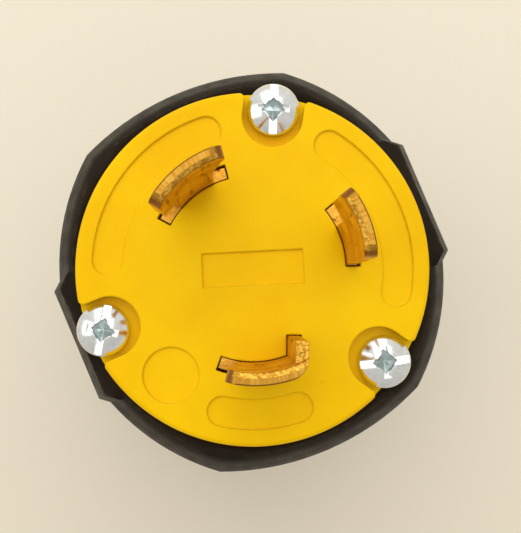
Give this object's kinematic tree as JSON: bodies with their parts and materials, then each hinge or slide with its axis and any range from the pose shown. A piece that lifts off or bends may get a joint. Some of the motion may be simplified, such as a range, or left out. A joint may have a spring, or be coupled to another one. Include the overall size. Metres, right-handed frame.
{
  "type": "locking plug of a shore power cord",
  "caption": "Locking shore power plug: yellow blade face with curved brass blades in a black oval housing with grip pads, screw terminals and a cord clamp.",
  "frame": {"origin": "centre of the cord end's face, on the plug's axis", "axes": "+Z along the plug's axis from the cord end to the blade tips; +Y away from the ground blade; +X to the right seen from the blades"},
  "size_m": [0.058, 0.0578, 0.0965],
  "materials": {
    "yellow_nylon": "moulded, glossy",
    "black_nylon": "moulded, fine grain",
    "grey_nylon": "moulded",
    "brass": "stamped, lightly tarnished",
    "zinc_steel": "bright zinc plate",
    "green_steel": "green plate",
    "seal_rubber": "matt"
  },
  "bodies": {
    "housing": {"housing": "black_nylon", "threaded_inserts": "brass", "cord_seal": "seal_rubber", "clamp_nuts": "zinc_steel"},
    "front": {"front_body": "yellow_nylon", "blade_neutral": "brass", "blade_hot": "brass", "blade_ground": "brass", "terminal_carrier": "grey_nylon", "carrier_screws": "zinc_steel"},
    "ring_1": {"screw_retainer_1": "black_nylon"},
    "screw_1": {"assembly_screw_1": "zinc_steel"},
    "ring_2": {"screw_retainer_2": "black_nylon"},
    "screw_2": {"assembly_screw_2": "zinc_steel"},
    "ring_3": {"screw_retainer_3": "black_nylon"},
    "screw_3": {"assembly_screw_3": "zinc_steel"},
    "clamp_neutral": {"terminal_clamp_neutral": "brass"},
    "terminal_neutral": {"terminal_screw_neutral": "zinc_steel"},
    "clamp_hot": {"terminal_clamp_hot": "brass"},
    "terminal_hot": {"terminal_screw_hot": "brass"},
    "clamp_ground": {"terminal_clamp_ground": "brass"},
    "terminal_ground": {"terminal_screw_ground": "green_steel"},
    "saddle": {"cord_clamp_saddle": "black_nylon"},
    "clamp_bolt_left": {"clamp_screw_left": "zinc_steel"},
    "clamp_bolt_right": {"clamp_screw_right": "zinc_steel"}
  },
  "joints": [
    {"name": "front_lift", "type": "slide", "parent": "housing", "child": "front", "axis": [0, 0, 1], "range_m": [0, 0.04]},
    {"name": "screw_1_back_out", "type": "slide", "parent": "front", "child": "ring_1", "axis": [0, 0, 1], "range_m": [0, 0.0059]},
    {"name": "screw_1_turn", "type": "hinge", "parent": "ring_1", "child": "screw_1", "pos_m": [0.00278, 0.0217, 0.07], "axis": [0, 0, 1], "range_deg": [0, 2670]},
    {"name": "screw_2_back_out", "type": "slide", "parent": "front", "child": "ring_2", "axis": [0, 0, 1], "range_m": [0, 0.0059]},
    {"name": "screw_2_turn", "type": "hinge", "parent": "ring_2", "child": "screw_2", "pos_m": [-0.02023, -0.00834, 0.07], "axis": [0, 0, 1], "range_deg": [0, 2670]},
    {"name": "screw_3_back_out", "type": "slide", "parent": "front", "child": "ring_3", "axis": [0, 0, 1], "range_m": [0, 0.0059]},
    {"name": "screw_3_turn", "type": "hinge", "parent": "ring_3", "child": "screw_3", "pos_m": [0.01788, -0.01261, 0.07], "axis": [0, 0, 1], "range_deg": [0, 2670]},
    {"name": "terminal_neutral_clamp", "type": "slide", "parent": "front", "child": "clamp_neutral", "axis": [-0.628, 0.7782, 0], "range_m": [0, 0.003]},
    {"name": "terminal_neutral_turn", "type": "hinge", "parent": "clamp_neutral", "child": "terminal_neutral", "pos_m": [-0.00892, 0.01105, 0.05575], "axis": [0.628, -0.7782, 0], "range_deg": [0, 1360]},
    {"name": "terminal_hot_clamp", "type": "slide", "parent": "front", "child": "clamp_hot", "axis": [0.9385, 0.3453, 0], "range_m": [0, 0.003]},
    {"name": "terminal_hot_turn", "type": "hinge", "parent": "clamp_hot", "child": "terminal_hot", "pos_m": [0.01333, 0.0049, 0.05575], "axis": [-0.9385, -0.3453, 0], "range_deg": [0, 1360]},
    {"name": "terminal_ground_clamp", "type": "slide", "parent": "front", "child": "clamp_ground", "axis": [0.0035, -1, 0], "range_m": [0, 0.003]},
    {"name": "terminal_ground_turn", "type": "hinge", "parent": "clamp_ground", "child": "terminal_ground", "pos_m": [0.00005, -0.0142, 0.05575], "axis": [-0.0035, 1, 0], "range_deg": [0, 1360]},
    {"name": "saddle_close", "type": "slide", "parent": "housing", "child": "saddle", "axis": [0, -1, 0], "range_m": [-0.003, 0.004]},
    {"name": "clamp_screw_left_turn", "type": "hinge", "parent": "saddle", "child": "clamp_bolt_left", "pos_m": [-0.0155, 0, 0.00775], "axis": [0, -1, 0], "range_deg": [-1360, 1810]},
    {"name": "clamp_screw_right_turn", "type": "hinge", "parent": "saddle", "child": "clamp_bolt_right", "pos_m": [0.0155, 0, 0.00775], "axis": [0, -1, 0], "range_deg": [-1360, 1810]}
  ],
  "couplings": [
    {"joint": "screw_1_turn", "follows": "screw_1_back_out", "rad_per_m": 7854},
    {"joint": "screw_2_turn", "follows": "screw_2_back_out", "rad_per_m": 7854},
    {"joint": "screw_3_turn", "follows": "screw_3_back_out", "rad_per_m": 7854},
    {"joint": "terminal_neutral_turn", "follows": "terminal_neutral_clamp", "rad_per_m": 7854},
    {"joint": "terminal_hot_turn", "follows": "terminal_hot_clamp", "rad_per_m": 7854},
    {"joint": "terminal_ground_turn", "follows": "terminal_ground_clamp", "rad_per_m": 7854},
    {"joint": "clamp_screw_left_turn", "follows": "saddle_close", "rad_per_m": 7854},
    {"joint": "clamp_screw_right_turn", "follows": "saddle_close", "rad_per_m": 7854}
  ]
}
